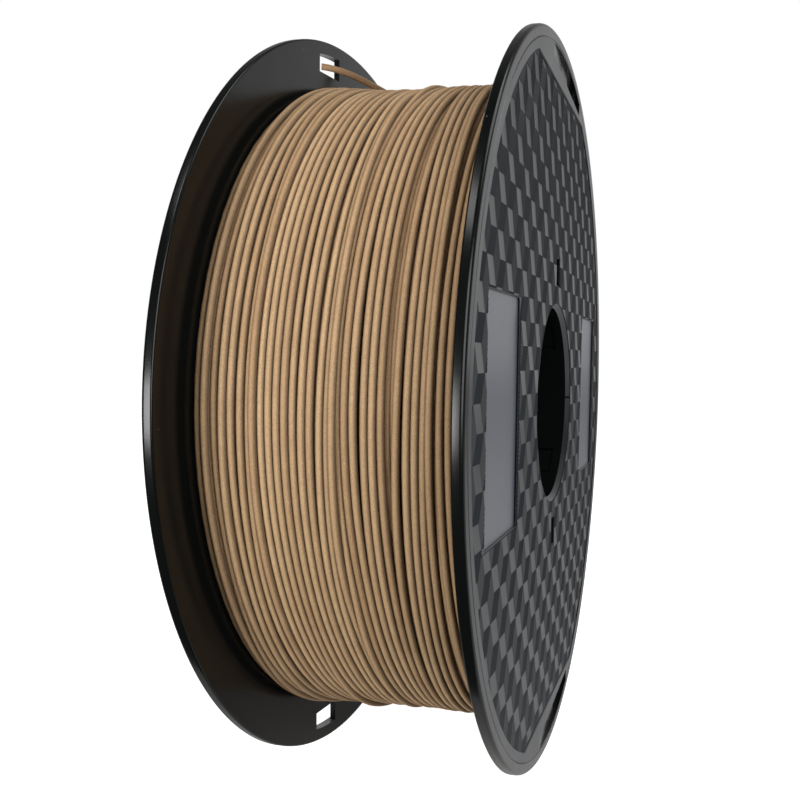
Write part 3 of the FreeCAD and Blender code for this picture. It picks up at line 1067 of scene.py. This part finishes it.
class SPOOL_OT_tail(bpy.types.Operator):
    """Leads the filament's free end through the tie-off hole"""

    bl_idname = "spool.tail"
    bl_label = "Free end"

    def execute(self, context):
        curve = tail_curve(context.scene.spool_winding)
        piece = finish_piece("tail_strand", curve, [wood_filament()])
        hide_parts("filament_tail")
        return {"FINISHED"}


def soft_light(name, place, aim, size, power):
    """An area light that looks at a point, and that the camera doesn't see."""
    data = bpy.data.lights.new(name, "AREA")
    data.shape = "RECTANGLE"
    data.size, data.size_y = size
    data.energy = power
    lamp = bpy.data.objects.new(name, data)
    bpy.context.scene.collection.objects.link(lamp)
    lamp.location = place
    lamp.rotation_euler = (Vector(aim) - Vector(place)).to_track_quat("-Z", "Y").to_euler()
    lamp.visible_camera = False
    return lamp


def studio_world():
    """White behind the object. For light, a band by the horizon beyond the object and little elsewhere."""
    world = bpy.data.worlds.new("studio")
    bpy.context.scene.world = world
    world.use_nodes = True
    nodes = Nodes(world.node_tree)
    sky = world.node_tree.nodes["Background"]
    direction = nodes.add("ShaderNodeTexCoord").outputs["Generated"]
    parts = nodes.add("ShaderNodeSeparateXYZ", Vector=direction).outputs
    beyond = nodes.spread(parts["X"], 0.1, 0.8)
    low = nodes.spread(parts["Z"], 0.25, 0.65, 1.0, 0.3)
    band = nodes.math("MULTIPLY", nodes.math("MULTIPLY", beyond, low), 0.65)
    seen = nodes.add("ShaderNodeLightPath").outputs["Is Camera Ray"]
    strength = nodes.math("MAXIMUM", seen, nodes.math("ADD", band, 0.03))
    nodes.give(sky, "Color", (1, 1, 1, 1))
    nodes.give(sky, "Strength", strength)
    return world


def around(azimuth, elevation, distance):
    """A point round the spool's centre, its angles in degrees from +X towards +Y and up."""
    a, e = math.radians(azimuth), math.radians(elevation)
    return Vector((math.cos(a) * math.cos(e), math.sin(a) * math.cos(e), math.sin(e))) * distance


class SPOOL_OT_stage(bpy.types.Operator):
    """Sets up the camera, the pale floor and the soft lights"""

    bl_idname = "spool.stage"
    bl_label = "Studio"

    def execute(self, context):
        scene, studio = context.scene, context.scene.studio
        data = bpy.data.cameras.new("camera")
        data.sensor_width = 36.0
        data.lens = studio.camera_lens
        data.shift_x, data.shift_y = studio.camera_shift
        data.clip_start, data.clip_end = 0.01, 50
        camera = bpy.data.objects.new("camera", data)
        scene.collection.objects.link(camera)
        camera.location = studio.camera_place
        camera.rotation_euler = Euler(studio.camera_turn, "XYZ")
        scene.camera = camera
        near, far, side, level = studio.floor_near, studio.floor_far, studio.floor_far, HALF_LOW.z
        corners = [(near, -side, level), (far, -side, level), (far, side, level), (near, side, level)]
        mesh = bpy.data.meshes.new("floor")
        mesh.from_pydata(corners, [], [(0, 1, 2, 3)])
        mesh.materials.append(floor_finish())
        floor = bpy.data.objects.new("floor", mesh)
        scene.collection.objects.link(floor)
        centre = (0, 0, 0)
        soft_light("key", around(226, 15, 1.0), centre, (0.7, 0.7), 8.8)
        soft_light("overhead", around(280, 58, 1.1), centre, (0.6, 0.6), 3.6)
        soft_light("left_window", around(155, -2, 1.0), centre, (0.45, 0.26), 7.0)
        soft_light("left_upper", around(152, 53, 1.0), centre, (0.4, 0.2), 1.8)
        studio_world()
        scene.view_settings.view_transform = "Standard"
        return {"FINISHED"}


class SPOOL_PT_panel(bpy.types.Panel):
    """Lists the spool's builders and its values"""

    bl_label = "Filament spool"
    bl_space_type = "VIEW_3D"
    bl_region_type = "UI"
    bl_category = "Spool"

    def draw(self, context):
        for operator in OPERATORS:
            self.layout.operator(operator.bl_idname)
        for label, group in SETTINGS.items():
            box = self.layout.box()
            box.label(text=group.__doc__)
            for name in group.__annotations__:
                box.prop(getattr(context.scene, label), name)


SETTINGS = {"spool_sizes": SpoolSizes, "spool_pattern": PatternSizes, "spool_winding": WindingSizes,
            "spool_finish": SpoolFinish, "studio": StudioSettings}
OPERATORS = (SPOOL_OT_stage, SPOOL_OT_halves, SPOOL_OT_relief, SPOOL_OT_winding, SPOOL_OT_tail)
CLASSES = (*SETTINGS.values(), *OPERATORS, SPOOL_PT_panel)


def register():
    """Registers the classes and puts the settings on the scene."""
    for item in CLASSES:
        bpy.utils.register_class(item)
    for name, group in SETTINGS.items():
        setattr(bpy.types.Scene, name, PointerProperty(type=group))


def unregister():
    """Takes the settings and classes away again."""
    for name in SETTINGS:
        delattr(bpy.types.Scene, name)
    for item in reversed(CLASSES):
        bpy.utils.unregister_class(item)


def main():
    """Builds everything in order."""
    register()
    bpy.ops.spool.stage()
    bpy.ops.spool.halves()
    bpy.ops.spool.relief()
    bpy.ops.spool.winding()
    bpy.ops.spool.tail()


if __name__ == "__main__":
    main()
